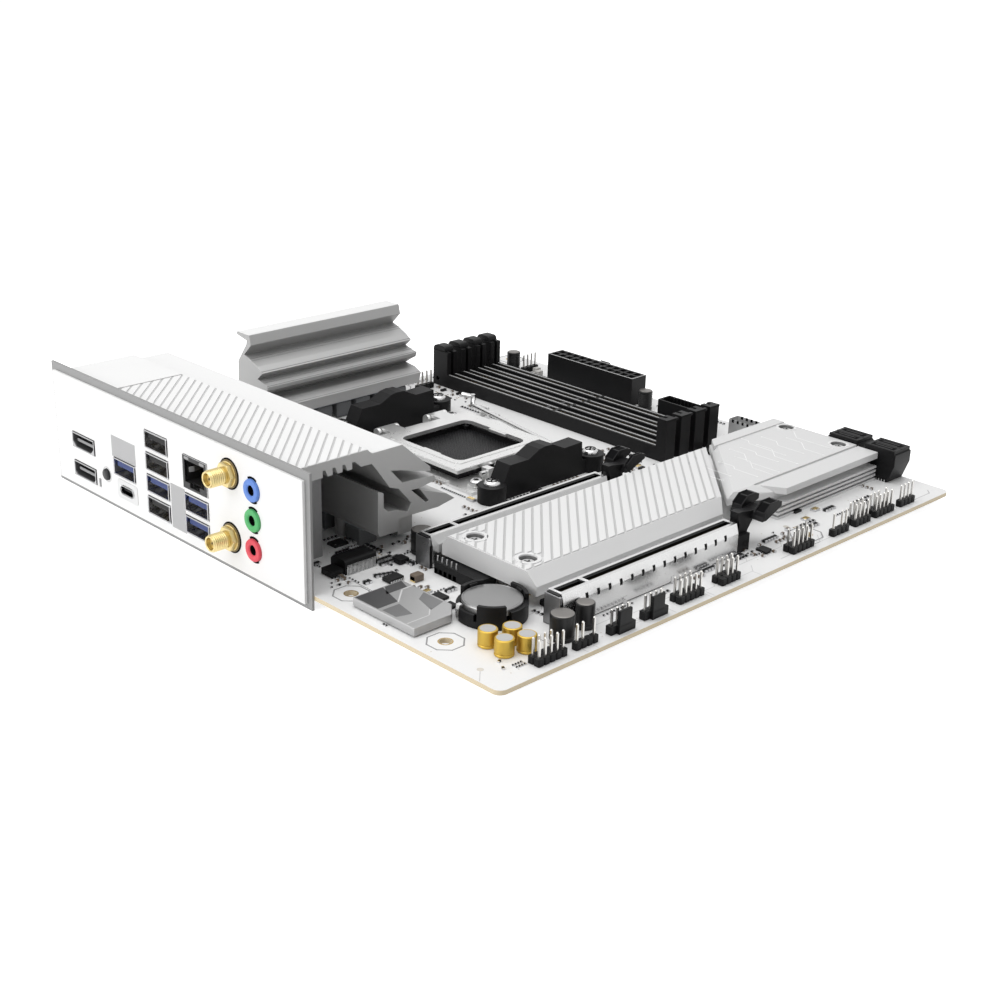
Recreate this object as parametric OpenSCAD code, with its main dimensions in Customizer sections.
// Micro-ATX computer main board with its sockets, slots, ports, headers and heatsinks.
// Places on the board are measured in mm from its rear left corner, on the top face:
// X runs from the rear port edge to the front, Y runs from the header edge to the top edge.
// The part's own origin is the axis of mounting hole B at the board's underside.

/* [Board] */
// Board length along X
board_x = 244; // [243:0.5:246]
// Board width along Y
board_y = 244; // [243:0.5:246]
// Board thickness
board_t = 1.6; // [1.5:0.1:2]
// Corner radius of the board
board_corner_r = 3; // [1:0.5:4]
// Radius of each mounting hole
mount_hole_r = 1.98; // [1.9:0.02:2.1]
// Hole B and F column, from the rear edge
hole_col_rear = 10.16; // [9.5:0.01:11]
// Hole C column
hole_col_c = 33.02; // [32:0.01:34]
// Hole H, J and R column
hole_col_mid = 165.1; // [164:0.01:166]
// Hole L and M column
hole_col_front = 237.5; // [236.5:0.01:238.5]
// Hole B row, from the header edge
hole_row_b = 34.3; // [33.5:0.1:35]
// Distance from hole row B to hole row F
hole_pitch_bf = 45.7; // [45.5:0.1:46]
// Distance from hole row F to the top hole row
hole_pitch_top = 157.5; // [157:0.1:158]
// Hole R row
hole_row_r = 11.4; // [11:0.1:12]
// General clearance around a screw in a plain hole
screw_clear = 0.3; // [0.2:0.05:0.5]
// Radial clearance of a running fit
run_clear = 0.05; // [0.02:0.01:0.08]
// Gap left between neighbouring pieces
piece_gap = 0.3; // [0.2:0.05:0.5]

/* [CPU socket] */
// Socket centre along X
socket_x = 127.9; // [127:0.1:129]
// Socket centre along Y
socket_y = 153.6; // [153:0.1:154.2]
// Cooler hole spacing along X
cooler_pitch_x = 54; // [53:0.5:56]
// Cooler hole spacing along Y
cooler_pitch_y = 90; // [89:0.5:92]
// Socket body width along X
base_w = 45; // [43:0.5:46]
// Socket body depth along Y
base_d = 43; // [42:0.5:44]
// Socket body height
base_h = 3.4; // [3:0.1:3.6]
// Pocket for the processor, across
pocket_w = 40.4; // [40:0.1:41]
// Pocket floor height
pocket_floor = 1.6; // [1.2:0.1:2]
// Frame plate thickness
frame_t = 1.2; // [1:0.1:1.4]
// Frame width along X
frame_w = 58; // [57:0.5:60]
// Frame depth along Y
frame_d = 72.5; // [72:0.5:74]
// Socket screw spacing along X
ilm_pitch_x = 46.6; // [46:0.1:47]
// Socket screw spacing along Y
ilm_pitch_y = 65; // [64.6:0.1:65.4]
// Socket screw head radius
ilm_head_r = 2.7; // [2.4:0.1:2.8]
// Socket screw head height
ilm_head_h = 2; // [1.6:0.1:2.2]
// Socket screw shank radius
ilm_shank_r = 1.3; // [1.1:0.1:1.4]
// Load plate thickness
plate_t = 1.4; // [1.2:0.1:1.6]
// Load plate half width
plate_half_w = 26; // [25.5:0.1:26.3]
// Load plate rear edge, from the socket centre
plate_rear = 26; // [25.5:0.1:26.5]
// Load plate front edge, from the socket centre
plate_front = 24.8; // [24.5:0.1:24.9]
// Window width in the load plate
window_w = 37.5; // [36:0.5:38]
// Window depth in the load plate
window_d = 36.5; // [35:0.5:37]
// Hinge line, from the socket centre
plate_hinge_y = 33.5; // [33:0.1:34]
// Hinge pin height
plate_hinge_z = 4; // [3.8:0.1:4.4]
// Hinge pin radius
hinge_pin_r = 1; // [0.9:0.05:1.1]
// Hinge eye outer radius
hinge_eye_r = 2; // [1.9:0.05:2.2]
// Lever wire radius
wire_r = 1; // [0.9:0.05:1]
// Swelling of the wire at a bend
knuckle_swell = 0.04; // [0.03:0.01:0.06]
// Lever bar line, from the socket centre
lever_y = 28.2; // [28.1:0.1:28.6]
// Lever bar height
lever_z = 3.6; // [3.5:0.1:4]
// Crank offset of the lever bar
crank_offset = 2; // [1.5:0.1:2]
// Lever arm length along Y
lever_arm = 61; // [58:0.5:63]
// Lever arm root, from the socket centre along X
lever_root_x = 27.8; // [27.6:0.1:28.4]
// Lever arm spread towards its tip
lever_spread = 8.2; // [7.5:0.1:9]
// Back plate thickness
back_t = 2; // [1.6:0.1:2.4]
// Back plate margin round the cooler holes
back_margin = 6; // [5:0.5:7]
// Threaded post radius of the back plate
post_r = 2.4; // [2.2:0.1:2.6]
// Bracket boss radius
boss_r = 5.45; // [5:0.05:5.6]
// Bracket boss height
boss_h = 6.8; // [6:0.1:7.5]
// Bracket plateau height
bracket_plateau_z = 13.3; // [12:0.1:14]
// Bracket hook peak height
bracket_peak_z = 16.6; // [16:0.1:17]
// Bracket outer face, from the socket centre
bracket_outer = 47.3; // [46.5:0.1:48]
// Bracket inner face, from the socket centre
bracket_inner = 39.8; // [39.5:0.1:40.5]
// Bracket screw head radius
bracket_head_r = 3.25; // [3:0.05:3.5]
// Bracket screw head height
bracket_head_h = 1.9; // [1.5:0.1:2.2]
// Bracket screw shank radius
bracket_shank_r = 1.45; // [1.2:0.05:1.5]

/* [Rear ports] */
// Thickness of the rim plate of the port shield
shield_t = 0.9; // [0.8:0.1:1]
// Thickness of the face panel on it
panel_t = 1; // [0.8:0.1:1.2]
// Rim plate right end
shield_y0 = 86.3; // [86:0.1:87]
// Rim plate left end
shield_y1 = 246.6; // [246:0.1:248]
// Rim plate lower edge below the board top
shield_z0 = -5.2; // [-5.4:0.1:-4.6]
// Rim plate top edge
shield_z1 = 42.5; // [42:0.1:44]
// Width of the rim left round the panel
shield_rim = 2.6; // [2:0.1:2.8]
// How far a port mouth stands out of the panel
port_proud = 0.4; // [0.2:0.1:0.8]
// Gap between a port mouth and its window
window_gap = 0.2; // [0.15:0.05:0.3]
// Sheet metal wall of a port mouth
port_wall = 0.5; // [0.3:0.05:0.6]
// Depth of a stacked port housing
stack_depth = 18; // [16:0.5:20]
// USB mouth width
usb_w = 14.4; // [14:0.1:14.8]
// USB mouth height
usb_h = 6.7; // [6.4:0.1:6.9]
// Depth of a USB mouth
usb_depth = 9; // [8:0.5:10]
// Pitch of stacked USB mouths
usb_pitch = 8.4; // [8.2:0.1:8.8]
// Lowest USB mouth bottom height
usb_z0 = 0.6; // [0.5:0.1:1]
// Side plate margin of a housing round its mouth
housing_margin = 0.6; // [0.4:0.1:0.9]
// Centre line of the left stack with the type C mouth
stack_a_y = 196.1; // [195.5:0.1:196.7]
// Bottom of its USB mouth
stack_a_z = 9.1; // [8.8:0.1:9.6]
// Type C mouth width
usb_c_w = 9.2; // [8.9:0.1:9.6]
// Type C mouth height
usb_c_h = 3.7; // [3.4:0.1:4]
// Type C mouth centre height
usb_c_z = 4.3; // [4:0.1:4.6]
// Centre line of the stack of four
stack_q_y = 173.7; // [173:0.1:174.4]
// Centre line of the network stack
stack_n_y = 149.4; // [149:0.1:150]
// Network jack bottom height
lan_z0 = 17.6; // [17.4:0.1:18.2]
// Network jack mouth height
lan_h = 12.4; // [12:0.1:13]
// Network plug opening width
lan_mouth_w = 11.8; // [11.6:0.1:12.2]
// Network plug opening height
lan_mouth_h = 8.2; // [8:0.1:8.8]
// Network plug opening depth
lan_depth = 14; // [13:0.5:15]
// Centre line of the video ports
video_y = 224.7; // [224:0.1:225.2]
// Video port width
video_w = 15.6; // [15.2:0.1:16.2]
// Video port height
video_h = 6; // [5.6:0.1:6.4]
// Lower video port bottom
hdmi_z = 0.6; // [0.5:0.1:1]
// Upper video port bottom
dp_z = 12.1; // [11.8:0.1:12.6]
// Update button centre along Y
button_y = 208.9; // [208.4:0.1:209.4]
// Update button height
button_z = 7.2; // [6.8:0.1:7.6]
// Update button radius
button_r = 2.25; // [2:0.05:2.4]
// Update button travel
button_travel = 1; // [0.8:0.1:1.2]
// Antenna jack line along Y
antenna_y = 129; // [128.6:0.1:129.4]
// Lower antenna jack height
antenna_z = 7.4; // [7.2:0.1:8]
// Antenna jack spacing
antenna_pitch = 23.1; // [22:0.1:23.2]
// Antenna thread radius
antenna_r = 3.1; // [3:0.05:3.2]
// Antenna thread length outside the panel
antenna_out = 9; // [8:0.1:9.4]
// Antenna nut width across corners
antenna_nut_w = 9; // [8.4:0.1:9.2]
// Antenna nut thickness
antenna_nut_t = 2.2; // [1.8:0.1:2.6]
// Audio jack line along Y
audio_y = 116; // [115.6:0.1:116.4]
// Lowest audio jack height
audio_z = 7; // [6.8:0.1:7.2]
// Audio jack spacing
audio_pitch = 10.7; // [10.5:0.1:10.9]
// Audio jack bore radius
audio_bore_r = 1.8; // [1.75:0.01:1.85]
// Audio ring radius
audio_ring_r = 4; // [3.8:0.05:4.1]
// Audio ring reach beyond the ports
audio_ring_reach = 0.7; // [0.5:0.1:1]
// Audio jack bore depth
audio_depth = 14; // [13:0.5:15]
// Audio block depth
audio_block_x = 21.7; // [20:0.1:23]
// Audio block width
audio_block_w = 12.8; // [12.4:0.1:13]
// Audio block height
audio_block_h = 33.5; // [33:0.1:34]

/* [Heatsinks] */
// Port heatsink near end
io_sink_y0 = 96.2; // [95.5:0.1:97]
// End of its wide finned part
io_sink_wide_y1 = 215; // [212:0.5:216]
// Port heatsink far end
io_sink_y1 = 239.3; // [238.5:0.1:240]
// Top heatsink left end
top_sink_x0 = 81.8; // [81:0.1:82.5]
// Top heatsink right end
top_sink_x1 = 162.8; // [162:0.1:163]
// Choke height
choke_h = 6.9; // [6.6:0.1:7]
// Choke side
choke_w = 8; // [7.5:0.1:8.2]
// Thermal pad over the chokes
pad_t = 0.5; // [0.4:0.05:0.6]
// Power stage thickness
stage_h = 1; // [0.9:0.05:1.1]
// Power stage side
stage_w = 6; // [5:0.1:6.4]
// Heatsink screw shank radius
sink_shank_r = 1.4; // [1.2:0.05:1.5]
// Heatsink screw head radius, under the board
sink_head_r = 3; // [2.8:0.1:3.2]
// Heatsink screw head height
sink_head_h = 1.6; // [1.4:0.1:1.8]
// Heatsink stud radius
stud_r = 3; // [2.8:0.1:3.2]
// Top face of the flat heatsinks
flat_sink_z = 12; // [11.5:0.1:12.5]
// Drive heatsink left edge
m2_x0 = 46.7; // [46:0.1:48]
// Drive heatsink front edge of the top face
m2_y0 = 36.5; // [36:0.1:37]
// Width of the drive heatsink's rear ledge
m2_ledge = 2.7; // [2:0.1:3]
// Gap between the drive heatsink and the upper slot's cover
m2_gap = 0.75; // [0.5:0.05:1]
// Distance of a heatsink screw from the edge of the top face
m2_screw_inset = 6.4; // [6:0.1:7]
// Drive heatsink front corner of the slanted end
m2_x1 = 146.4; // [146:0.1:147]
// Bevel of the drive heatsink's front edge
m2_bevel = 5; // [4:0.1:6]
// Standoff height below both flat heatsinks
standoff_h = 4.6; // [4.4:0.1:4.8]
// Standoff radius
standoff_r = 2.4; // [2.2:0.1:2.6]
// Small heatsink screw shank radius
small_shank_r = 1.25; // [1.1:0.05:1.3]
// Small heatsink screw head radius
small_head_r = 2.6; // [2.4:0.1:2.7]
// Small heatsink screw head height
small_head_h = 1.8; // [1.5:0.1:2]
// Recess radius round a small screw head
recess_r = 3.1; // [3:0.1:3.3]
// Floor of a screw recess
recess_z = 9.3; // [9:0.1:9.6]
// Gap between the chipset heatsink and the drive ports
chip_sata_gap = 0.6; // [0.4:0.1:1.2]
// Chipset heatsink rear edge
chip_y1 = 77; // [76.5:0.1:77.4]
// Chipset heatsink front edge of the top face
chip_y0 = 36.3; // [36:0.1:36.6]
// Gap to the drive heatsink along X
chip_gap = 7; // [6.6:0.1:8]
// Slanting side's bevel
chip_bevel = 3.5; // [3:0.1:3.7]
// Ridge height above the plate
ridge_h = 0.5; // [0.3:0.1:0.8]
// Chipset package side
chipset_w = 21; // [19:0.5:24]
// Chipset package thickness
chipset_h = 1.5; // [1.3:0.1:1.7]

/* [Memory slots] */
// First slot centre along X
dimm_x = 185.3; // [185:0.1:185.6]
// Slot pitch
dimm_pitch = 9.15; // [9.1:0.05:9.4]
// Slot front end along Y
dimm_y0 = 93; // [92.9:0.1:93.4]
// Slot length
dimm_len = 139.5; // [139.2:0.1:139.8]
// Slot width
dimm_w = 6; // [5.8:0.1:6.2]
// Rail height
dimm_rail_h = 6; // [5.6:0.1:6.4]
// Card groove width
dimm_groove = 1.5; // [1.4:0.05:1.7]
// Card groove floor
dimm_floor = 1.6; // [1.4:0.1:2]
// End tower height
tower_h = 18; // [17.6:0.1:18.2]
// Fixed end tower depth
tower_d = 5; // [4.5:0.1:5.5]
// Latch end tower depth
latch_tower_d = 9.5; // [9:0.1:10]
// Latch blade width
latch_w = 3.4; // [3:0.1:3.6]
// Latch pivot height
latch_pivot_z = 3.2; // [3:0.1:3.6]
// Latch pivot radius
latch_pin_r = 0.9; // [0.8:0.05:1]
// Latch top height
latch_top = 18.8; // [18.6:0.1:19.2]

/* [Card slots] */
// Lower slot line along Y
slot_low_y = 20.34; // [20.2:0.01:20.5]
// Distance up to the upper slot
pcie_pitch = 60.96; // [60.9:0.01:61]
// Slot left end
pcie_x0 = 42.3; // [42:0.1:43]
// Slot length
pcie_len = 89.2; // [89:0.1:89.5]
// Slot body width
pcie_w = 7.3; // [7.1:0.1:7.5]
// Slot height
pcie_h = 11.25; // [11:0.05:11.5]
// Card groove width of a slot
pcie_groove = 1.8; // [1.7:0.05:1.9]
// Card groove depth of a slot
pcie_depth = 7.9; // [7.5:0.1:8.5]
// Key position from the slot's left end
pcie_key = 14; // [13:0.1:15]
// Steel cover thickness
cover_t = 0.4; // [0.3:0.05:0.5]
// Slot cover start behind the slot's rear end
cover_inset = 1; // [0.8:0.1:1.2]
// Height of the fold in a slot's flank
slot_fold_z = 8; // [7.6:0.1:8.4]
// How far the flank leans in above the fold
slot_slope = 1.1; // [0.9:0.05:1.2]
// Cover slits along each flank
slit_count = 14; // [8:1:14]
// Distance from one slit to the next
slit_pitch = 5.38; // [5:0.02:5.6]
// Slit width
slit_w = 1.3; // [1:0.1:1.4]
// Slit height
slit_h = 2.2; // [1.8:0.1:2.4]
// First slit, from the slot's left end
slit_inset = 11; // [8:0.5:12]
// How far a latch's horns reach to each side
latch_reach = 7.2; // [6:0.1:7.4]
// Reach on the drive heatsink's side
latch_reach_tight = 4.4; // [4:0.1:4.5]
// Slot latch pivot, past the slot end
slot_pivot_x = 4.2; // [4:0.1:4.5]
// Slot latch pivot height
slot_pivot_z = 3.2; // [3:0.1:3.6]
// Slot latch pivot radius
slot_pin_r = 1.1; // [1:0.05:1.2]
// Slot latch blade width
slot_latch_w = 3.6; // [3.4:0.1:3.8]

/* [Power connectors] */
// Main power connector corner along X
atx_x = 226.9; // [226.5:0.1:227.5]
// Main power connector corner along Y
atx_y = 150.5; // [150:0.1:151]
// Pitch of the power contacts
power_pitch = 4.2; // [4.2:0.01:4.3]
// Contact columns of the main connector
atx_rows = 12; // [12:1:12]
// Contact columns of the processor power connector
eps_rows = 4; // [4:1:4]
// Power connector height
power_h = 12.8; // [12:0.1:13.4]
// Power connector depth across its two rows
power_d = 9.6; // [9.4:0.1:10]
// Square opening of one contact
power_cell = 3.2; // [2.8:0.1:3.4]
// Processor power connector corner along X
eps_x = 50; // [49:0.5:52]
// Processor power connector corner along Y
eps_y = 227; // [226:0.5:228]

/* [Small parts] */
// Pin header pitch
pin_pitch = 2.54; // [2.5:0.01:2.6]
// Pin width
pin_w = 0.64; // [0.6:0.02:0.7]
// Header insulator height
header_h = 2.5; // [2.3:0.1:2.7]
// Pin height above the board
pin_top = 8.6; // [8:0.1:9]
// Header line along Y
header_y = 4.2; // [4:0.1:4.6]
// Drive port block length along X
sata_x = 11.2; // [11:0.1:11.4]
// Drive port block width along Y
sata_y = 14.5; // [14:0.1:14.8]
// Drive port block height
sata_h = 13.4; // [13:0.1:14]
// Battery centre along X
battery_x = 33.6; // [33.4:0.1:34]
// Battery centre along Y
battery_y = 38.2; // [38:0.1:38.6]
// Battery radius
battery_r = 10; // [10:0.1:10]
// Battery thickness
battery_t = 3.2; // [3:0.1:3.2]
// Battery underside height
battery_z = 3.2; // [3:0.1:3.4]
// Battery holder wall thickness
holder_wall = 1.6; // [1.2:0.1:1.7]
// Battery holder front wall height
holder_front_h = 8; // [7:0.1:8.4]
// Gold capacitor radius
gold_cap_r = 3.2; // [3:0.05:3.25]
// Gold capacitor height
gold_cap_h = 5.8; // [5.4:0.1:6.4]
// Black capacitor height
black_cap_h = 9; // [8:0.1:9.5]
// Large black capacitor radius
black_cap_r = 4; // [3.8:0.1:4.1]
// Small black capacitor radius
small_cap_r = 3.15; // [3:0.05:3.2]
// Sound shield height
sound_shield_h = 3.3; // [3:0.1:3.5]
// Front USB header shroud length
front_usb_len = 27; // [26:0.5:28]
// Front USB header shroud width
front_usb_w = 8; // [7.6:0.1:8.2]
// Front USB header shroud height
front_usb_h = 10; // [9:0.1:10.5]

/* [Hidden] */
$fn = 48;
eps = 0.01;
hole_row_f = hole_row_b + hole_pitch_bf;
hole_row_top = hole_row_f + hole_pitch_top;
mount_holes = [
  [hole_col_rear, hole_row_b], [hole_col_rear, hole_row_f], [hole_col_c, hole_row_top],
  [hole_col_mid, hole_row_f], [hole_col_mid, hole_row_top], [hole_col_front, hole_row_f],
  [hole_col_front, hole_row_top], [hole_col_mid, hole_row_r]
];
corners = [[-1, -1], [1, -1], [-1, 1], [1, 1]];
cooler_spots = [for (c = corners) [socket_x + c[0] * cooler_pitch_x / 2,
                                   socket_y + c[1] * cooler_pitch_y / 2]];
ilm_spots = [for (c = corners) [socket_x + c[0] * ilm_pitch_x / 2,
                                socket_y + c[1] * ilm_pitch_y / 2]];
frame_ear_h = 2.2;
plate_z = plate_hinge_z + hinge_eye_r - plate_t;
tongue_spots = [-12, 15];
tongue_w = 7.6;
ear_w = 1.4;
saddle_spots = [-13, 13];
saddle_w = 3;
catch_y = 24;
catch_x = lever_root_x + lever_spread + wire_r + 0.6;
panel_front = -(shield_t + panel_t);
port_front = panel_front - port_proud;
sink_spots = [[39.9, 121.2], [39.9, 160], [39.9, 211], [88, 236], [159, 236]];
io_foot_x0 = 36;
io_foot_x1 = 44.4;
choke_top = choke_h + pad_t;
stage_pad_z = stage_h + pad_t;
io_choke_y = [for (i = [0:9]) 107.4 + i * 9.8];
io_stage_y = [for (i = [0:9]) 107.4 + i * 9.8];
top_choke_x = [for (i = [0:5]) 96.2 + i * 10.4];
latch_y = dimm_y0 + dimm_len - 3;
slot_end = pcie_x0 + pcie_len;
sata_x0 = board_x - sata_x - 0.2;
chip_x1 = sata_x0 - chip_sata_gap;
slot_high_y = slot_low_y + pcie_pitch;
slot_lines = [slot_high_y, slot_low_y];
slot_half = pcie_w / 2 + cover_t;
m2_y1 = slot_high_y - slot_half - m2_gap - m2_ledge;
small_spots = [[53.4, m2_y1 - m2_screw_inset], [54, m2_y0 + m2_screw_inset],
               [227.9, 67.5], [227, 41.5]];
power_edge = (power_d - 2 * power_pitch) / 2;
audio_spots = [for (i = [0:2]) audio_z + i * audio_pitch];
antenna_spots = [antenna_z, antenna_z + antenna_pitch];
antenna_neck_r = antenna_r - 0.35;
audio_depth_step = 0.4;
driver_r = 4.2;
cover_rise = cover_t * 0.3;
thread_x = panel_front - 0.6 - antenna_nut_t;

// One mouth is [centre along Y, bottom height, width, height].
usb_mouths_a = [[stack_a_y, stack_a_z, usb_w, usb_h]];
type_c_mouth = [stack_a_y - 1.3, usb_c_z - usb_c_h / 2, usb_c_w, usb_c_h];
usb_mouths_q = [for (i = [0:3]) [stack_q_y, usb_z0 + i * usb_pitch, usb_w, usb_h]];
usb_mouths_n = [for (i = [0:1]) [stack_n_y, usb_z0 + i * usb_pitch, usb_w, usb_h]];
lan_mouth = [stack_n_y, lan_z0, usb_w, lan_h];
hdmi_mouth = [video_y, hdmi_z, video_w, video_h];
dp_mouth = [video_y, dp_z, video_w, video_h];
all_mouths = concat(usb_mouths_a, [type_c_mouth, lan_mouth, hdmi_mouth, dp_mouth],
                    usb_mouths_q, usb_mouths_n);

// Port heatsink section: flat ribbed plate, spine, fins and the channel over the chokes.
io_rib_pitch = 4.1;
io_rib_x = 11;
io_plate_points = [[0.2, 35], [0.2, 40.3], [31, 40.3], [32.7, 38.6], [46.1, 38.6]];
io_rib_points = [for (i = [3:-1:0]) for (p = [[3.1, 37.4], [2.05, 37.4], [2.05, 35], [0, 35]])
                 [io_rib_x + i * io_rib_pitch + p[0] - 1, p[1]]];
io_fin_points = [
  [58.9, 27.6], [58.9, 26], [45, 29.6], [41, 30.4], [46.1, 24.9], [60.8, 24], [61.3, 22.1],
  [54, 20.9], [50.1, 21.1], [56.9, 14.9], [58.3, 15.1], [54.2, 20.3], [66.5, 15.8],
  [70.5, 13], [62.6, 11.6], [io_foot_x1, 12], [io_foot_x1, choke_top], [io_foot_x0, choke_top],
  [35.2, 9], [35.3, 24.2], [37.7, 23.1], [37.8, 17.7], [39.8, 15.8], [43.8, 15.3],
  [48.4, 13.5], [50.2, 16.4], [44.4, 23], [40.4, 24.5], [35.1, 31.8], [32.6, 34.9], [28, 35]
];
io_thin_points = [[46.1, 36], [32.6, 34.9], [28, 35]];

// Top heatsink section in (Y, Z): cap, grooved nose and foot over the chokes.
top_points = [
  [243, 40.2], [234.2, 40.2], [233.2, 36.2], [238.2, 31.2], [235, 30.4], [229.2, 28],
  [225.8, 25.8], [229.2, 22.7], [221.9, 20.9], [222.7, 18.9], [229.2, 14.9], [223, 14.2],
  [219, 12.3], [220.5, choke_top], [229.5, choke_top], [229.5, stage_pad_z + 2],
  [231, stage_pad_z], [238, stage_pad_z], [239.5, stage_pad_z + 2], [243, 9], [243, 19.3],
  [242.6, 27.7], [236.5, 36], [236.2, 37.7], [243, 39]
];

module on_board() {
  translate([-hole_col_rear, -hole_row_b, board_t]) children();
}

module block(p, s) {
  translate(p) cube(s);
}

module rod(x, y, z0, z1, r) {
  translate([x, y, z0]) cylinder(h = z1 - z0, r = r);
}

module rod_x(y, z, x0, x1, r) {
  translate([x0, y, z]) rotate([0, 90, 0]) cylinder(h = x1 - x0, r = r);
}

module rod_y(x, z, y0, y1, r) {
  translate([x, y1, z]) rotate([90, 0, 0]) cylinder(h = y1 - y0, r = r);
}

// Extrudes an (X, Z) outline along Y.
module sweep_y(y0, y1) {
  translate([0, y1, 0]) rotate([90, 0, 0]) linear_extrude(y1 - y0) children();
}

// Extrudes a (Y, Z) outline along X.
module sweep_x(x0, x1) {
  translate([x0, 0, 0]) rotate([90, 0, 90]) linear_extrude(x1 - x0) children();
}

// A straight round length of wire between two points.
module wire(a, b) {
  run = b - a;
  translate(a) rotate([0, acos(run[2] / norm(run)), atan2(run[1], run[0])])
    cylinder(h = norm(run), r = wire_r);
}

module pcb() {
  color([0.93, 0.93, 0.91]) on_board() translate([0, 0, -board_t]) difference() {
    union() {
      block([board_corner_r, 0, 0], [board_x - 2 * board_corner_r, board_y, board_t]);
      block([0, board_corner_r, 0], [board_x, board_y - 2 * board_corner_r, board_t]);
      for (x = [board_corner_r, board_x - board_corner_r])
        for (y = [board_corner_r, board_y - board_corner_r])
          rod(x, y, 0, board_t, board_corner_r);
    }
    for (p = mount_holes) rod(p[0], p[1], -1, board_t + 1, mount_hole_r);
    for (p = cooler_spots) rod(p[0], p[1], -1, board_t + 1, post_r + screw_clear);
    for (p = ilm_spots) rod(p[0], p[1], -1, board_t + 1, ilm_shank_r + screw_clear);
    for (p = sink_spots) rod(p[0], p[1], -1, board_t + 1, sink_shank_r + screw_clear);
  }
}

module cpu_backplate() {
  back_w = cooler_pitch_x + 2 * back_margin;
  back_d = cooler_pitch_y + 2 * back_margin;
  top = -board_t;
  color([0.2, 0.2, 0.21]) on_board() difference() {
    union() {
      block([socket_x - back_w / 2, socket_y - back_d / 2, top - back_t], [back_w, back_d, back_t]);
      for (p = cooler_spots) rod(p[0], p[1], top - back_t, 1, post_r);
    }
    block([socket_x - base_w / 3, socket_y - base_d / 3, top - back_t - 1],
          [base_w / 1.5, base_d / 1.5, back_t + 2]);
    for (p = cooler_spots) rod(p[0], p[1], top - back_t - 1, 2, bracket_shank_r + run_clear);
    for (p = ilm_spots) rod(p[0], p[1], top - back_t - 1, 2, ilm_shank_r + run_clear);
  }
}

module socket_base() {
  color([0.09, 0.09, 0.1]) on_board() translate([socket_x, socket_y, 0]) difference() {
    block([-base_w / 2, -base_d / 2, 0], [base_w, base_d, base_h]);
    block([-pocket_w / 2, -pocket_w / 2, pocket_floor], [pocket_w, pocket_w, base_h]);
    block([-pocket_w / 10, -pocket_w / 10, -1], [pocket_w / 5, pocket_w / 5, base_h + 2]);
  }
}

module socket_frame() {
  opening_w = base_w + 2 * piece_gap;
  opening_d = base_d + 2 * piece_gap;
  color([0.86, 0.86, 0.86]) on_board() translate([socket_x, socket_y, 0]) difference() {
    union() {
      block([-frame_w / 2, -frame_d / 2, 0], [frame_w, frame_d, frame_t]);
      for (c = corners)
        rod(c[0] * ilm_pitch_x / 2, c[1] * ilm_pitch_y / 2, 0, frame_ear_h, ilm_head_r + 0.6);
      for (x = tongue_spots) {
        for (side = [-1, 1]) {
          ear_x = x + side * (tongue_w + ear_w + 2 * piece_gap) / 2;
          block([ear_x - ear_w / 2, plate_hinge_y - hinge_eye_r, 0],
                [ear_w, 2 * hinge_eye_r, plate_hinge_z]);
          rod_x(plate_hinge_y, plate_hinge_z, ear_x - ear_w / 2, ear_x + ear_w / 2, hinge_eye_r);
        }
        rod_x(plate_hinge_y, plate_hinge_z, x - tongue_w / 2 - piece_gap - ear_w,
              x + tongue_w / 2 + piece_gap + ear_w, hinge_pin_r);
      }
      for (x = saddle_spots)
        block([x - saddle_w / 2, -lever_y - 2, 0], [saddle_w, 4, lever_z + 1.9]);
      block([frame_w / 2 - 1, catch_y, 0], [catch_x - frame_w / 2 + 1, 4.5, frame_ear_h]);
      block([catch_x - 1, catch_y, 0], [1, 4.5, lever_z + 2.4]);
    }
    block([-opening_w / 2, -opening_d / 2, -1], [opening_w, opening_d, frame_t + 2]);
    for (c = corners)
      rod(c[0] * ilm_pitch_x / 2, c[1] * ilm_pitch_y / 2, -1, 5, ilm_shank_r + screw_clear);
    for (x = saddle_spots) rod_x(-lever_y, lever_z, x - saddle_w, x + saddle_w, wire_r + run_clear);
    for (x = tongue_spots)
      block([x - tongue_w / 2 - piece_gap, plate_hinge_y - hinge_eye_r - 1, frame_t],
            [tongue_w + 2 * piece_gap, hinge_eye_r + 1 - hinge_pin_r - 0.8, 3]);
  }
}

module load_plate() {
  color([0.9, 0.9, 0.9]) on_board() translate([socket_x, socket_y, 0]) difference() {
    union() {
      block([-plate_half_w, -plate_front, plate_z],
            [2 * plate_half_w, plate_front + plate_rear, plate_t]);
      for (x = tongue_spots) {
        block([x - tongue_w / 2, plate_rear - 1, plate_z],
              [tongue_w, plate_hinge_y - plate_rear + 1, plate_t]);
        rod_x(plate_hinge_y, plate_hinge_z, x - tongue_w / 2, x + tongue_w / 2, hinge_eye_r);
      }
    }
    block([-window_w / 2, -window_d / 2, plate_z - 1], [window_w, window_d, plate_t + 2]);
    for (x = tongue_spots)
      rod_x(plate_hinge_y, plate_hinge_z, x - tongue_w, x + tongue_w, hinge_pin_r + run_clear);
  }
}

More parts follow.
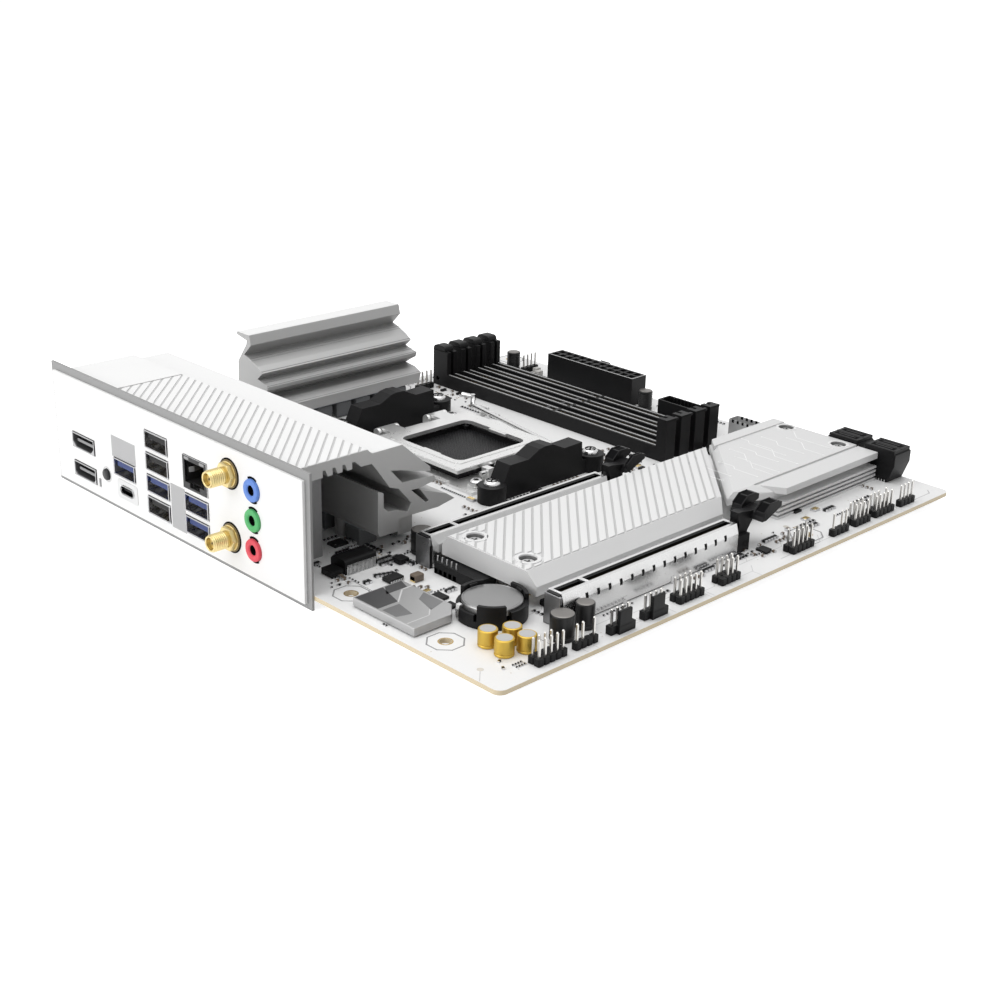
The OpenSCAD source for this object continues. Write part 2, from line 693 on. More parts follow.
module load_lever() {
  crank_x = 6;
  bar_end = saddle_spots[1] + 4;
  lift = 1.4;
  hook_rise = 3.8;
  tip = [lever_root_x + lever_spread, lever_arm - lever_y, lever_z + lift];
  swell = wire_r + knuckle_swell;
  color([0.82, 0.82, 0.83]) on_board() translate([socket_x, socket_y, 0]) {
    rod_x(-lever_y, lever_z, -bar_end, -crank_x, wire_r);
    rod_x(-lever_y, lever_z, crank_x, lever_root_x, wire_r);
    rod_x(crank_offset - lever_y, lever_z, -crank_x, crank_x, wire_r);
    for (x = [-crank_x, crank_x])
      rod_y(x, lever_z, -lever_y - swell, crank_offset - lever_y + swell, swell);
    rod(lever_root_x, -lever_y, lever_z - swell, lever_z + swell, swell);
    wire([lever_root_x, -lever_y, lever_z], tip);
    rod(tip[0], tip[1], tip[2] - swell, tip[2] + hook_rise + swell, swell);
    wire(tip + [0, 0, hook_rise], tip + [-2.6, 4.2, hook_rise + 0.6]);
  }
}

module cooler_bracket(side) {
  half = cooler_pitch_x / 2;
  spot_y = cooler_pitch_y / 2;
  flank = half - boss_r + 1.5;
  on_board() translate([socket_x, socket_y, 0]) scale([1, side, 1]) difference() {
    union() {
      for (s = [-1, 1]) rod(s * half, spot_y, 0, boss_h, boss_r);
      sweep_y(bracket_inner, bracket_outer) polygon([
        [-flank, 0], [-flank, boss_h], [-19.8, bracket_plateau_z], [-10, bracket_plateau_z],
        [-4.2, bracket_peak_z - 0.5], [-1, bracket_peak_z], [3, bracket_peak_z - 0.2],
        [9.6, bracket_plateau_z], [19.5, bracket_plateau_z + 0.3], [20, boss_h - 1],
        [flank, boss_h - 1], [flank, 0]]);
    }
    for (s = [-1, 1]) {
      rod(s * half, spot_y, -1, boss_h + 1, bracket_shank_r + screw_clear);
      rod(s * half, spot_y, -1, 1 + piece_gap, post_r + screw_clear);
    }
  }
}

module bracket_screws() {
  color([0.8, 0.8, 0.8]) on_board() for (p = cooler_spots) difference() {
    union() {
      rod(p[0], p[1], boss_h, boss_h + bracket_head_h, bracket_head_r);
      rod(p[0], p[1], -board_t, boss_h + 1, bracket_shank_r);
    }
    for (turn = [0, 90])
      translate([p[0], p[1], boss_h + 1]) rotate([0, 0, turn])
        block([-bracket_head_r / 1.6, -0.45, 0], [bracket_head_r * 1.25, 0.9, 3]);
  }
}

module socket_screws() {
  color([0.75, 0.75, 0.76]) on_board() for (p = ilm_spots) difference() {
    union() {
      rod(p[0], p[1], frame_ear_h, frame_ear_h + ilm_head_h, ilm_head_r);
      rod(p[0], p[1], -board_t - back_t, frame_ear_h + 1, ilm_shank_r);
    }
    rod(p[0], p[1], frame_ear_h + 0.8, frame_ear_h + 4, ilm_shank_r);
  }
}

// Windows through the port shield and its panel.
module port_cuts() {
  for (m = all_mouths)
    block([-5, m[0] - m[2] / 2 - window_gap, m[1] - window_gap],
          [6, m[2] + 2 * window_gap, m[3] + 2 * window_gap]);
  for (z = audio_spots) rod_x(audio_y, z, -5, 1, audio_ring_r + window_gap);
  for (z = antenna_spots) rod_x(antenna_y, z, -5, 1, antenna_r + window_gap);
  rod_x(button_y, button_z, -5, 1, button_r + run_clear);
  block([-5, button_y + 4.8, 0.4], [6, 1.6, 3.6]);
}

module io_shield() {
  color([0.72, 0.72, 0.72]) on_board() difference() {
    union() {
      block([-shield_t, shield_y0, shield_z0],
            [shield_t, shield_y1 - shield_y0, shield_z1 - shield_z0]);
      block([0, board_y + piece_gap, 0], [8, 1.2, 30]);
    }
    port_cuts();
  }
}

module io_panel() {
  y0 = shield_y0 + shield_rim;
  y1 = shield_y1 - shield_rim + 0.4;
  z0 = shield_z0 + shield_rim - 0.8;
  z1 = shield_z1 - shield_rim - 0.4;
  color([0.95, 0.95, 0.94]) on_board() difference() {
    block([panel_front, y0, z0], [panel_t, y1 - y0, z1 - z0]);
    port_cuts();
  }
}

// The hollow sheet metal mouth of one port, its tongue and the housing behind it.
module port_shell(m, depth) {
  difference() {
    block([port_front, m[0] - m[2] / 2, m[1]], [depth + 3, m[2], m[3]]);
    block([port_front - 1, m[0] - m[2] / 2 + port_wall, m[1] + port_wall],
          [depth + 1, m[2] - 2 * port_wall, m[3] - 2 * port_wall]);
  }
}

module housing(y, w, z0, z1) {
  block([piece_gap, y - w / 2 - housing_margin, z0],
        [stack_depth, w + 2 * housing_margin, z1 - z0]);
}

module cavity(m, depth) {
  block([port_front - 1, m[0] - m[2] / 2 + port_wall, m[1] + port_wall],
        [depth + 1, m[2] - 2 * port_wall, m[3] - 2 * port_wall]);
}

module tongue(m, depth, w, t, rise) {
  block([port_front + 1, m[0] - w / 2, m[1] + rise], [depth, w, t]);
}

module port_body(mouths, depth, top) {
  w = mouths[0][2];
  difference() {
    union() {
      housing(mouths[0][0], w, 0, top);
      for (m = mouths) port_shell(m, depth);
    }
    for (m = mouths) cavity(m, depth);
  }
  for (m = mouths) tongue(m, depth, m[2] - 3, 1.9, m[3] - 3.1);
}

module display_port() {
  base_z = hdmi_z + video_h + 2;
  color([0.7, 0.7, 0.72]) on_board() {
    difference() {
      union() {
        housing(video_y, video_w, base_z, dp_z + video_h + housing_margin);
        port_shell(dp_mouth, usb_depth);
      }
      cavity(dp_mouth, usb_depth);
    }
    tongue(dp_mouth, usb_depth, video_w - 4, 1.2, 2.4);
  }
}

module hdmi_port() {
  color([0.7, 0.7, 0.72]) on_board() {
    difference() {
      union() {
        housing(video_y, video_w, 0, hdmi_z + video_h + 2);
        port_shell(hdmi_mouth, usb_depth);
      }
      cavity(hdmi_mouth, usb_depth);
    }
    tongue(hdmi_mouth, usb_depth, video_w - 4, 1.2, 2.4);
  }
}

module usb_stack_type_c() {
  color([0.72, 0.72, 0.74]) on_board() {
    difference() {
      union() {
        housing(stack_a_y, usb_w, 0, stack_a_z + usb_h + housing_margin);
        port_shell(usb_mouths_a[0], usb_depth);
        port_shell(type_c_mouth, usb_depth);
      }
      cavity(usb_mouths_a[0], usb_depth);
      cavity(type_c_mouth, usb_depth);
    }
    tongue(usb_mouths_a[0], usb_depth, usb_w - 3, 1.9, usb_h - 3.1);
    tongue(type_c_mouth, usb_depth, usb_c_w - 3, 0.7, usb_c_h / 2 - 0.35);
  }
}

module usb_stack_quad() {
  top = usb_z0 + 3 * usb_pitch + usb_h + housing_margin;
  color([0.72, 0.72, 0.74]) on_board() port_body(usb_mouths_q, usb_depth, top);
}

module lan_usb_stack() {
  mouth_y0 = stack_n_y - lan_mouth_w / 2;
  mouth_z0 = lan_z0 + 2.6;
  color([0.74, 0.74, 0.76]) on_board() {
    difference() {
      union() {
        port_body(usb_mouths_n, usb_depth, lan_z0 + lan_h + housing_margin);
        block([port_front, stack_n_y - usb_w / 2, lan_z0], [3.2, usb_w, lan_h]);
      }
      block([port_front - 1, mouth_y0, mouth_z0], [lan_depth + 1, lan_mouth_w, lan_mouth_h]);
      block([port_front - 1, stack_n_y - 3, lan_z0 + 1], [lan_depth - 2, 6, 3]);
    }
  }
}

module antenna_jacks() {
  color([0.85, 0.68, 0.3]) on_board() for (z = antenna_spots) {
    difference() {
      union() {
        rod_x(antenna_y, z, panel_front - antenna_out, thread_x, antenna_r);
        rod_x(antenna_y, z, thread_x - eps, 4, antenna_neck_r);
        rod_x(antenna_y, z, piece_gap, 2, antenna_r + 1.2);
      }
      rod_x(antenna_y, z, panel_front - antenna_out - 1, panel_front - antenna_out + 5,
            antenna_r - 0.9);
    }
    rod_x(antenna_y, z, panel_front - antenna_out + 0.6, 0, 0.5);
  }
}

module antenna_nuts() {
  color([0.86, 0.7, 0.33]) on_board() for (z = antenna_spots) difference() {
    union() {
      translate([panel_front - 0.4 - antenna_nut_t, antenna_y, z]) rotate([0, 90, 0])
        cylinder(h = antenna_nut_t, d = antenna_nut_w, $fn = 6);
      rod_x(antenna_y, z, panel_front - 0.4, panel_front, antenna_nut_w / 2 + 0.5);
    }
    rod_x(antenna_y, z, panel_front - 5, 1, antenna_neck_r + run_clear);
  }
}

module wireless_module() {
  color([0.62, 0.63, 0.65]) on_board() {
    block([4, antenna_y - 5, 0], [24, 10, 3]);
    block([4, antenna_y - 5, 3], [24, 2, antenna_z + antenna_pitch + 1]);
    block([4, antenna_y - 3, 3], [2, 7, antenna_z + antenna_pitch + 1]);
  }
}

module audio_jack_block() {
  color([0.6, 0.6, 0.6]) on_board() difference() {
    block([piece_gap, audio_y - audio_block_w / 2, 0],
          [audio_block_x - piece_gap, audio_block_w, audio_block_h]);
    for (i = [0:2])
      rod_x(audio_y, audio_spots[i], -1, audio_depth + i * audio_depth_step, audio_bore_r);
  }
}

module jack_ring(i) {
  on_board() difference() {
    rod_x(audio_y, audio_spots[i], port_front - audio_ring_reach, piece_gap, audio_ring_r);
    rod_x(audio_y, audio_spots[i], port_front - 2, 1, audio_bore_r);
  }
}

module update_button() {
  color([0.08, 0.08, 0.09]) on_board() {
    rod_x(button_y, button_z, panel_front - 1.2, 0.6, button_r);
    rod_x(button_y, button_z, piece_gap, 1.1, button_r + 0.8);
    rod_x(button_y, button_z, 1, 6, 1);
  }
}

module button_switch() {
  color([0.14, 0.14, 0.15]) on_board() difference() {
    block([3.5, button_y - 3, 0], [8, 6, button_z + 3]);
    rod_x(button_y, button_z, 3, 6.6 + button_travel, 1 + run_clear);
  }
}

module module_connector() {
  color([0.08, 0.08, 0.08]) on_board() {
    block([17.4, 92, 0], [13.6, 7.8, 5.2]);
    block([12.4, 92, 0], [5, 7.8, 2.4]);
  }
}

module io_heatsink() {
  thin = concat(io_plate_points, io_thin_points, io_rib_points);
  wide = concat(io_plate_points, io_fin_points, io_rib_points);
  color([0.8, 0.8, 0.79]) on_board() difference() {
    union() {
      sweep_y(io_sink_y0, io_sink_wide_y1) polygon(wide);
      sweep_y(io_sink_wide_y1 - eps, io_sink_y1) polygon(thin);
      block([50.6, 104, stage_pad_z], [stage_w + 0.8, 99, 12 - stage_pad_z]);
      for (i = [0:2]) rod(sink_spots[i][0], sink_spots[i][1], 0, choke_top + 1, stud_r);
    }
    for (i = [0:2]) rod(sink_spots[i][0], sink_spots[i][1], -1, 5.6, sink_shank_r + run_clear);
    block([io_rib_points[0][0], hole_row_top - driver_r - 1.8, choke_h], [30, 30, 50]);
    rod(hole_col_c, hole_row_top, choke_h, 60, driver_r);
  }
}

module top_heatsink() {
  color([0.72, 0.72, 0.71]) on_board() difference() {
    union() {
      sweep_x(top_sink_x0, top_sink_x1) polygon(top_points);
      for (i = [3:4]) rod(sink_spots[i][0], sink_spots[i][1], 0, choke_top + 1, stud_r);
    }
    for (i = [3:4]) rod(sink_spots[i][0], sink_spots[i][1], -1, 5.6, sink_shank_r + run_clear);
  }
}

module thermal_pads() {
  color([0.55, 0.6, 0.62]) on_board() {
    block([io_foot_x0 + 0.2, 105.4, choke_h], [choke_w, 11.2, pad_t]);
    block([io_foot_x0 + 0.2, 125.8, choke_h], [choke_w, 29.6, pad_t]);
    block([io_foot_x0 + 0.2, 164.6, choke_h], [choke_w, 42, pad_t]);
    block([51, 105, stage_h], [stage_w, 97.4, pad_t]);
    block([92, 221.2, choke_h], [60, choke_w, pad_t]);
    block([92, 231.5, stage_h], [60, stage_w, pad_t]);
    block([204, 46, chipset_h], [chipset_w - 4, chipset_w - 4, pad_t]);
  }
}

module power_chokes() {
  color([0.3, 0.31, 0.33]) on_board() {
    for (y = io_choke_y)
      if (min([for (i = [0, 1]) abs(y + choke_w / 2 - sink_spots[i][1])]) > 8)
        block([io_foot_x0 + 0.2, y, 0], [choke_w, choke_w, choke_h]);
    for (x = top_choke_x) block([x, 221.2, 0], [choke_w, choke_w, choke_h]);
  }
}

module board_chips() {
  color([0.1, 0.1, 0.11]) on_board() {
    for (y = io_stage_y) block([51, y, 0], [stage_w, stage_w, stage_h]);
    for (x = top_choke_x) block([x, 231.5, 0], [stage_w, stage_w, stage_h]);
    block([202, 44, 0], [chipset_w, chipset_w, chipset_h]);
    block([24, 76.5, 0], [6.2, 4.8, 1.5]);
    block([27, 56, 0], [5, 5, 1]);
    block([29, 112, 0], [6, 4.6, 1]);
    block([82, slot_high_y + slot_half + 2.7, 0], [7, 7, 1]);
    block([204, 86.5, 0], [8, 5, 1.2]);
  }
}

module heatsink_screws() {
  color([0.7, 0.7, 0.72]) on_board() for (p = sink_spots) difference() {
    union() {
      rod(p[0], p[1], -board_t - sink_head_h, -board_t, sink_head_r);
      rod(p[0], p[1], -board_t - 1, 5.2, sink_shank_r);
    }
    for (turn = [0, 90])
      translate([p[0], p[1], -board_t - sink_head_h - 1]) rotate([0, 0, turn])
        block([-1.9, -0.4, 0], [3.8, 0.8, 1.9]);
  }
}

module dimm_slot(i) {
  x = dimm_x + (i - 1) * dimm_pitch;
  y1 = dimm_y0 + dimm_len;
  cheek = latch_w / 2 + piece_gap / 2;
  color([0.1, 0.1, 0.1]) on_board() difference() {
    union() {
      block([x - dimm_w / 2, dimm_y0, 0], [dimm_w, dimm_len, dimm_rail_h]);
      block([x - dimm_w / 2, dimm_y0, 0], [dimm_w, tower_d, tower_h]);
      block([x - dimm_w / 2, y1 - latch_tower_d, 0], [dimm_w, latch_tower_d, tower_h - 1.5]);
    }
    block([x - dimm_groove / 2, dimm_y0 + tower_d / 2, dimm_floor],
          [dimm_groove, dimm_len / 2 - tower_d, tower_h]);
    block([x - dimm_groove / 2, dimm_y0 + dimm_len / 2 - 0.6, dimm_floor],
          [dimm_groove, dimm_len / 2, tower_h]);
    block([x - cheek, y1 - latch_tower_d + 2, 0.4], [2 * cheek, latch_tower_d, tower_h + 1]);
    rod_x(latch_y, latch_pivot_z, x - dimm_w, x + dimm_w, latch_pin_r + run_clear);
  }
}

module dimm_latch(i) {
  x = dimm_x + (i - 1) * dimm_pitch;
  root = latch_y - 2;
  cap_z = tower_h - 1.5 + 2 * piece_gap;
  color([0.12, 0.12, 0.12]) on_board() {
    sweep_x(x - latch_w / 2, x + latch_w / 2) polygon([
      [root, latch_pivot_z - 1.4], [root + 3.6, latch_pivot_z - 1.4], [root + 4.4, latch_pivot_z],
      [root + 4.4, latch_top - 5], [root + 5.6, latch_top - 3], [root + 5.6, latch_top - 1],
      [root + 4.4, latch_top], [root - 2.6, latch_top], [root - 2.6, latch_top - 2],
      [root, latch_top - 4]]);
    rod_x(latch_y, latch_pivot_z, x - dimm_w / 2, x + dimm_w / 2, latch_pin_r);
    sweep_x(x - dimm_w / 2, x + dimm_w / 2) polygon([
      [root - 2.4, cap_z], [root + 5.4, cap_z],
      [root + 5.4, latch_top - 0.8], [root + 4.4, latch_top], [root - 2.4, latch_top]]);
  }
}

// A two-row power socket: keyed square cells, a contact in each and a latch ramp.
module power_socket(rows) {
  len = rows * power_pitch + 1.6;
  difference() {
    union() {
      cube([power_d, len, power_h]);
      block([power_d - eps, len / 2 - 3, 2], [1.4, 6, 2.6]);
      block([power_d - eps, len / 2 - 2.4, 4], [0.7, 4.8, power_h - 6]);
    }
    for (i = [0:rows - 1]) for (j = [0, 1])
      block([power_edge + (j + 0.5) * power_pitch - power_cell / 2,
             0.8 + (i + 0.5) * power_pitch - power_cell / 2, 2],
            [power_cell, power_cell, power_h]);
  }
  for (i = [0:rows - 1]) for (j = [0, 1])
    block([power_edge + (j + 0.5) * power_pitch - 0.5, 0.8 + (i + 0.5) * power_pitch - 0.5, 1.5],
          [1, 1, power_h - 5]);
}

module main_power_connector() {
  color([0.07, 0.07, 0.07]) on_board() translate([atx_x, atx_y, 0]) power_socket(atx_rows);
}

module cpu_power_connector() {
  color([0.07, 0.07, 0.07]) on_board() translate([eps_x, eps_y, 0])
    translate([0, power_d, 0]) rotate([0, 0, -90]) power_socket(eps_rows);
}

// Slot cross-section round a line along Y, grown by a skin and by a rise at its shoulders.
module slot_section(y, floor_z, skin, rise) {
  half = pcie_w / 2 + skin;
  crown = half - slot_slope;
  polygon([[y - half, floor_z], [y - half, slot_fold_z + rise], [y - crown, pcie_h + skin],
           [y + crown, pcie_h + skin], [y + half, slot_fold_z + rise], [y + half, floor_z]]);
}

module pcie_slots() {
  cheek = slot_latch_w / 2 + piece_gap / 2;
  pivot_x = slot_end + slot_pivot_x;
  color([0.09, 0.09, 0.09]) on_board() for (y = slot_lines) difference() {
    union() {
      sweep_x(pcie_x0, slot_end) slot_section(y, 0, 0, 0);
      block([slot_end - eps, y - pcie_w / 2, 0], [slot_pivot_x + 2.4, pcie_w, 6.4]);
    }
    block([pcie_x0 + 1.6, y - pcie_groove / 2, pcie_h - pcie_depth],
          [pcie_key - 2.6, pcie_groove, pcie_h]);
    block([pcie_x0 + pcie_key + 0.9, y - pcie_groove / 2, pcie_h - pcie_depth],
          [pcie_len - pcie_key - 2.5, pcie_groove, pcie_h]);
    block([slot_end + 1, y - cheek, 0.6], [slot_pivot_x + 3, 2 * cheek, pcie_h]);
    rod_y(pivot_x, slot_pivot_z, y - pcie_w, y + pcie_w, slot_pin_r + run_clear);
  }
}

module pcie_covers() {
  window_w = pcie_groove + 1.6;
  bridge_w = 1.2;
  color([0.78, 0.78, 0.78]) on_board() for (y = slot_lines) difference() {
    sweep_x(pcie_x0 + cover_inset, slot_end - 0.6) slot_section(y, 0.4, cover_t, cover_rise);
    sweep_x(pcie_x0, slot_end + 1) slot_section(y, 0, 0, 0);
    block([pcie_x0 + cover_inset + 0.6, y - window_w / 2, pcie_h - 1],
          [pcie_key - cover_inset - 0.2 - bridge_w / 2, window_w, 3]);
    block([pcie_x0 + pcie_key + 0.4 + bridge_w / 2, y - window_w / 2, pcie_h - 1],
          [pcie_len - pcie_key - 2.4, window_w, 3]);
    for (i = [0:slit_count - 1])
      block([pcie_x0 + slit_inset + i * slit_pitch, y - pcie_w, slot_fold_z - 1],
            [slit_w, 2 * pcie_w, slit_h]);
  }
}

// A forked latch: a blade with a cross arm and two horns, reaching near and far along Y.
module pcie_latch(y, near) {
  x = slot_end + slot_pivot_x;
  half = slot_latch_w / 2;
  arm_z = pcie_h - 0.4;
  color([0.1, 0.1, 0.1]) on_board() {
    sweep_y(y - half, y + half) polygon([
      [x - 1.6, slot_pivot_z - 1.8], [x + 1.8, slot_pivot_z - 1.8], [x + 3.4, slot_pivot_z + 3.6],
      [x + 6.6, arm_z], [x + 10.4, arm_z + 1.8], [x + 5, arm_z + 2.6], [x - 0.6, 14.4],
      [x - 2.6, 14.4], [x - 2.6, 12], [x - 1.6, 10]]);
    sweep_y(y - near, y + latch_reach) polygon([
      [x + 4.2, arm_z], [x + 6.6, arm_z], [x + 11, arm_z + 1.9], [x + 11, arm_z + 3],
      [x + 5.6, arm_z + 2.2]]);
    for (s = [[-near, -half - 1], [half + 1, latch_reach]])
      sweep_y(y + s[0], y + s[1]) polygon([
        [x + 4.8, arm_z], [x + 6.6, arm_z], [x + 15, arm_z + 3.4], [x + 15, arm_z + 5.2],
        [x + 13.4, arm_z + 5.6], [x + 8.8, arm_z + 5.6], [x + 5.4, arm_z + 2.8]]);
    rod_y(x, slot_pivot_z, y - pcie_w / 2, y + pcie_w / 2, slot_pin_r);
  }
}

module m2_heatsink() {
  depth = m2_y1 - m2_y0;
  front = m2_y0 - m2_bevel;
  rear = m2_y1 + m2_ledge;
  color([0.93, 0.93, 0.92]) on_board() difference() {
    hull() {
      translate([0, 0, flat_sink_z - 1]) linear_extrude(1) polygon([
        [m2_x0, m2_y0], [m2_x1, m2_y0], [m2_x1 + depth, m2_y1], [m2_x0, m2_y1]]);
      translate([0, 0, standoff_h]) linear_extrude(flat_sink_z - 4 - standoff_h) polygon([
        [m2_x0, front], [m2_x1 - m2_bevel, front], [m2_x1 + depth + m2_ledge, rear], [m2_x0, rear]]);
    }
    for (i = [0, 1]) {
      rod(small_spots[i][0], small_spots[i][1], recess_z, flat_sink_z + 1, recess_r);
      rod(small_spots[i][0], small_spots[i][1], 0, flat_sink_z, small_shank_r + screw_clear);
    }
  }
}

module m2_connector() {
  color([0.1, 0.1, 0.1]) on_board() difference() {
    block([41.4, m2_y1 - 21.3, 0], [7.8, 22, 4.2]);
    block([43.5, m2_y1 - 20.2, 2.2], [10, 19.8, 0.9]);
  }
}

// Flat plate with a slanting left side, a far ridge, a lower front lip and front fins.
module chipset_heatsink() {
  slant = m2_x1 - m2_y0 + chip_gap;
  lower = slant - chip_bevel;
  lip_left = slant + chip_y0 + 13;
  fin_x = 168;
  fin_y = 26.3;
  ridge_y = chip_y1 - 5.5;
  color([0.92, 0.92, 0.91]) on_board() difference() {
    union() {
      hull() {
        translate([0, 0, flat_sink_z - 1]) linear_extrude(1) polygon([
          [slant + chip_y0, chip_y0], [chip_x1, chip_y0], [chip_x1, ridge_y], [slant + ridge_y, ridge_y]]);
        translate([0, 0, 7.4]) linear_extrude(2.4) polygon([
          [lower + chip_y0, chip_y0], [fin_x, chip_y0 - 6], [chip_x1, chip_y0 - 6],
          [chip_x1, chip_y1 + 1], [lower + chip_y1 + 1, chip_y1 + 1]]);
      }
      translate([0, 0, 8]) linear_extrude(flat_sink_z + ridge_h - 8) polygon([
        [lower + ridge_y + 1, ridge_y], [chip_x1, ridge_y], [chip_x1, chip_y1],
        [lower + chip_y1 + 1, chip_y1]]);
      translate([0, 0, 9]) linear_extrude(flat_sink_z - 9.4) polygon([
        [lip_left, chip_y0], [lip_left + 6, fin_y], [chip_x1, fin_y], [chip_x1, chip_y0]]);
      block([200, 42, chipset_h + pad_t], [24, 25, 7]);
      for (i = [2, 3]) rod(small_spots[i][0], small_spots[i][1], standoff_h, 9, stud_r + 1);
      block([fin_x, 30.8, 0], [chip_x1 - fin_x, 1.6, 8]);
      for (i = [0:3]) block([fin_x, fin_y, i * 1.7], [chip_x1 - fin_x, 5, 0.9]);
    }
    block([lip_left - 1, chip_y0 - 0.8, flat_sink_z - 0.8], [80, 0.8, 3]);
    for (i = [2, 3]) {
      rod(small_spots[i][0], small_spots[i][1], recess_z, flat_sink_z + 1, recess_r);
      rod(small_spots[i][0], small_spots[i][1], 0, flat_sink_z, small_shank_r + screw_clear);
    }
  }
}

module sink_standoffs() {
  color([0.8, 0.66, 0.36]) on_board() for (p = small_spots) difference() {
    rod(p[0], p[1], 0, standoff_h, standoff_r);
    rod(p[0], p[1], 0.8, standoff_h + 1, small_shank_r + run_clear);
  }
}

module sink_screws() {
  color([0.6, 0.6, 0.62]) on_board() for (p = small_spots) difference() {
    union() {
      rod(p[0], p[1], recess_z, recess_z + small_head_h, small_head_r);
      rod(p[0], p[1], 1, recess_z + 1, small_shank_r);
    }
    for (turn = [0, 90])
      translate([p[0], p[1], recess_z + 0.8]) rotate([0, 0, turn])
        block([-1.6, -0.35, 0], [3.2, 0.7, 2]);
  }
}

module sata_port(x, y) {
  translate([x, y, 0]) difference() {
    cube([sata_x, sata_y, sata_h]);
    for (sx = [1.8, sata_x / 2 + 1]) {
      block([sx, 1.6, 4], [2.6, sata_y - 3.2, sata_h]);
      block([sx, 1.6, 4], [3.6, 1.8, sata_h]);
    }
    translate([0, -1, sata_h]) rotate([0, 45, 0]) block([-0.9, 0, -0.9], [1.8, sata_y + 2, 1.8]);
  }
}

module sata_ports() {
  color([0.08, 0.08, 0.08]) on_board() {
    sata_port(sata_x0, 36);
    sata_port(sata_x0, 18.8);
  }
}

// Shrouded front panel sockets: the long one is two rows of pins, the small one is steel.
module front_usb_headers() {
  long_x = 220.6;
  long_y = 103;
  color([0.1, 0.1, 0.11]) on_board() {
    difference() {
      block([long_x, long_y, 0], [front_usb_w, front_usb_len, front_usb_h]);
      block([long_x + 1, long_y + 1, 2.5], [front_usb_w - 2, front_usb_len - 2, front_usb_h]);
      block([long_x - 1, long_y + front_usb_len / 2 - 2, 5], [3, 4, front_usb_h]);
    }
    for (i = [0:9]) for (j = [0, 1])
      block([long_x + front_usb_w / 2 - 1.3 + j * 2, long_y + 4 + i * 2, 2], [0.6, 0.6, 6]);
    difference() {
      block([222, 80, 0], [6.4, 12.6, 10.5]);
      block([222.5, 80.5, 3], [5.4, 11.6, 9]);
    }
    block([224.7, 82, 2], [1, 8.6, 6]);
  }
}

// Header blocks: [first pin X, columns, rows].
header_rows = [[20.3, 5, 2], [36.6, 4, 1], [52.2, 4, 1], [68, 4, 1], [85.6, 5, 2],
               [107.4, 4, 2], [147.2, 5, 2], [171.2, 4, 1], [185.2, 4, 2], [198.4, 5, 2],
               [215, 4, 1]];
side_pins = [[169.5, 228.5, 4], [226.4, 217.6, 4]];

module pin_headers() {
  color([0.08, 0.08, 0.08]) on_board() {
    for (h = header_rows)
      block([h[0] - pin_pitch / 2, header_y - pin_pitch / 2, 0],
            [h[1] * pin_pitch, h[2] * pin_pitch, header_h]);
    for (h = [header_rows[2], header_rows[3]])
      block([h[0] + pin_pitch / 2, header_y - pin_pitch / 2 - 1.2, 0],
            [(h[1] - 1) * pin_pitch, 1.2 + eps, 8]);
    for (s = side_pins)
      block([s[0] - pin_pitch / 2, s[1] - pin_pitch / 2, 0],
            [s[2] * pin_pitch, pin_pitch, header_h]);
  }
}

module header_pins() {
  color([0.8, 0.8, 0.8]) on_board() {
    for (h = header_rows) for (i = [0:h[1] - 1]) for (j = [0:h[2] - 1])
      block([h[0] + i * pin_pitch - pin_w / 2, header_y + j * pin_pitch - pin_w / 2, header_h],
            [pin_w, pin_w, pin_top - header_h]);
    for (s = side_pins) for (i = [0:s[2] - 1])
      block([s[0] + i * pin_pitch - pin_w / 2, s[1] - pin_w / 2, header_h],
            [pin_w, pin_w, pin_top - header_h]);
  }
}

module battery_holder() {
  color([0.08, 0.08, 0.08]) on_board() difference() {
    union() {
      rod(battery_x, battery_y, 0, battery_z + battery_t - 0.8, battery_r + holder_wall);
      intersection() {
        rod(battery_x, battery_y, 0, holder_front_h, battery_r + holder_wall);
        translate([battery_x, battery_y, 0]) rotate([0, 0, 45]) block([-20, -4.7, 0], [20, 9.4, 20]);
      }
    }
    rod(battery_x, battery_y, battery_z, 20, battery_r + 0.15);
    translate([battery_x, battery_y, 0]) rotate([0, 0, 66])
      block([-14, 5.4, battery_z], [8, 4.4, 8]);
  }
}

module battery_cell() {
  color([0.8, 0.8, 0.8]) on_board() {
    rod(battery_x, battery_y, battery_z, battery_z + 0.8, battery_r - 1.2);
    rod(battery_x, battery_y, battery_z + 0.8, battery_z + battery_t, battery_r);
  }
}

gold_spots = [[18.1, 24], [25.2, 20.6], [17.6, 16.2], [24.6, 13.6]];
cap_inset = slot_half + piece_gap;
large_cap_spots = [[38.4, slot_low_y - cap_inset - black_cap_r],
                   [49.8, slot_high_y + cap_inset + black_cap_r]];
small_cap_spots = [[49.6, slot_low_y - cap_inset - small_cap_r], [226.4, 224.6], [229, 144]];

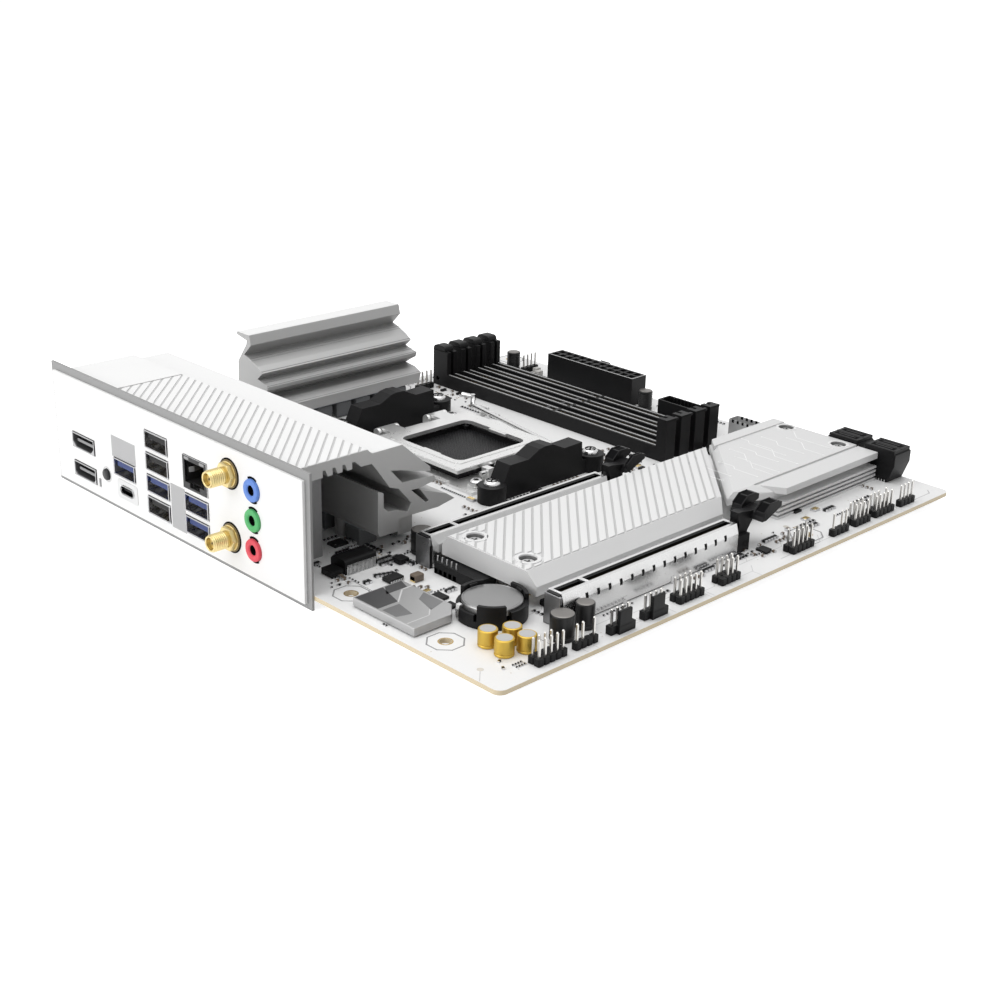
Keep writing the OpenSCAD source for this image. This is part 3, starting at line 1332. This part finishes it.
module capacitors() {
  color([0.75, 0.6, 0.25]) on_board() {
    for (p = gold_spots) rod(p[0], p[1], 0, gold_cap_h, gold_cap_r);
    for (p = large_cap_spots) rod(p[0], p[1], 0, black_cap_h, black_cap_r);
    for (p = small_cap_spots) rod(p[0], p[1], 0, black_cap_h, small_cap_r);
  }
}

module sound_shield() {
  color([0.8, 0.8, 0.8]) on_board() difference() {
    linear_extrude(sound_shield_h) polygon([
      [4.3, 42.2], [20, 42.2], [24.9, 47.5], [24.9, 72], [4.3, 72]]);
    translate([0, 0, -1]) linear_extrude(sound_shield_h + 0.6) polygon([
      [4.8, 42.7], [19.8, 42.7], [24.4, 47.7], [24.4, 71.5], [4.8, 71.5]]);
  }
}

pcb();
cpu_backplate();
socket_base();
socket_frame();
load_plate();
load_lever();
color([0.09, 0.09, 0.09]) cooler_bracket(-1);  // cooler_bracket_near
color([0.09, 0.09, 0.09]) cooler_bracket(1);  // cooler_bracket_far
bracket_screws();
socket_screws();
io_shield();
io_panel();
display_port();
hdmi_port();
usb_stack_type_c();
usb_stack_quad();
lan_usb_stack();
antenna_jacks();
antenna_nuts();
wireless_module();
audio_jack_block();
color([0.25, 0.5, 0.85]) jack_ring(2);  // jack_ring_blue
color([0.4, 0.75, 0.35]) jack_ring(1);  // jack_ring_green
color([0.85, 0.3, 0.35]) jack_ring(0);  // jack_ring_red
update_button();
button_switch();
module_connector();
io_heatsink();
top_heatsink();
thermal_pads();
power_chokes();
board_chips();
heatsink_screws();
dimm_slot(1);  // dimm_slot_1
dimm_slot(2);  // dimm_slot_2
dimm_slot(3);  // dimm_slot_3
dimm_slot(4);  // dimm_slot_4
dimm_latch(1);  // dimm_latch_1
dimm_latch(2);  // dimm_latch_2
dimm_latch(3);  // dimm_latch_3
dimm_latch(4);  // dimm_latch_4
main_power_connector();
cpu_power_connector();
pcie_slots();
pcie_covers();
pcie_latch(slot_high_y, latch_reach_tight);  // pcie_latch_upper
pcie_latch(slot_low_y, latch_reach);  // pcie_latch_lower
m2_heatsink();
m2_connector();
chipset_heatsink();
sink_standoffs();
sink_screws();
sata_ports();
front_usb_headers();
pin_headers();
header_pins();
battery_holder();
battery_cell();
capacitors();
sound_shield();
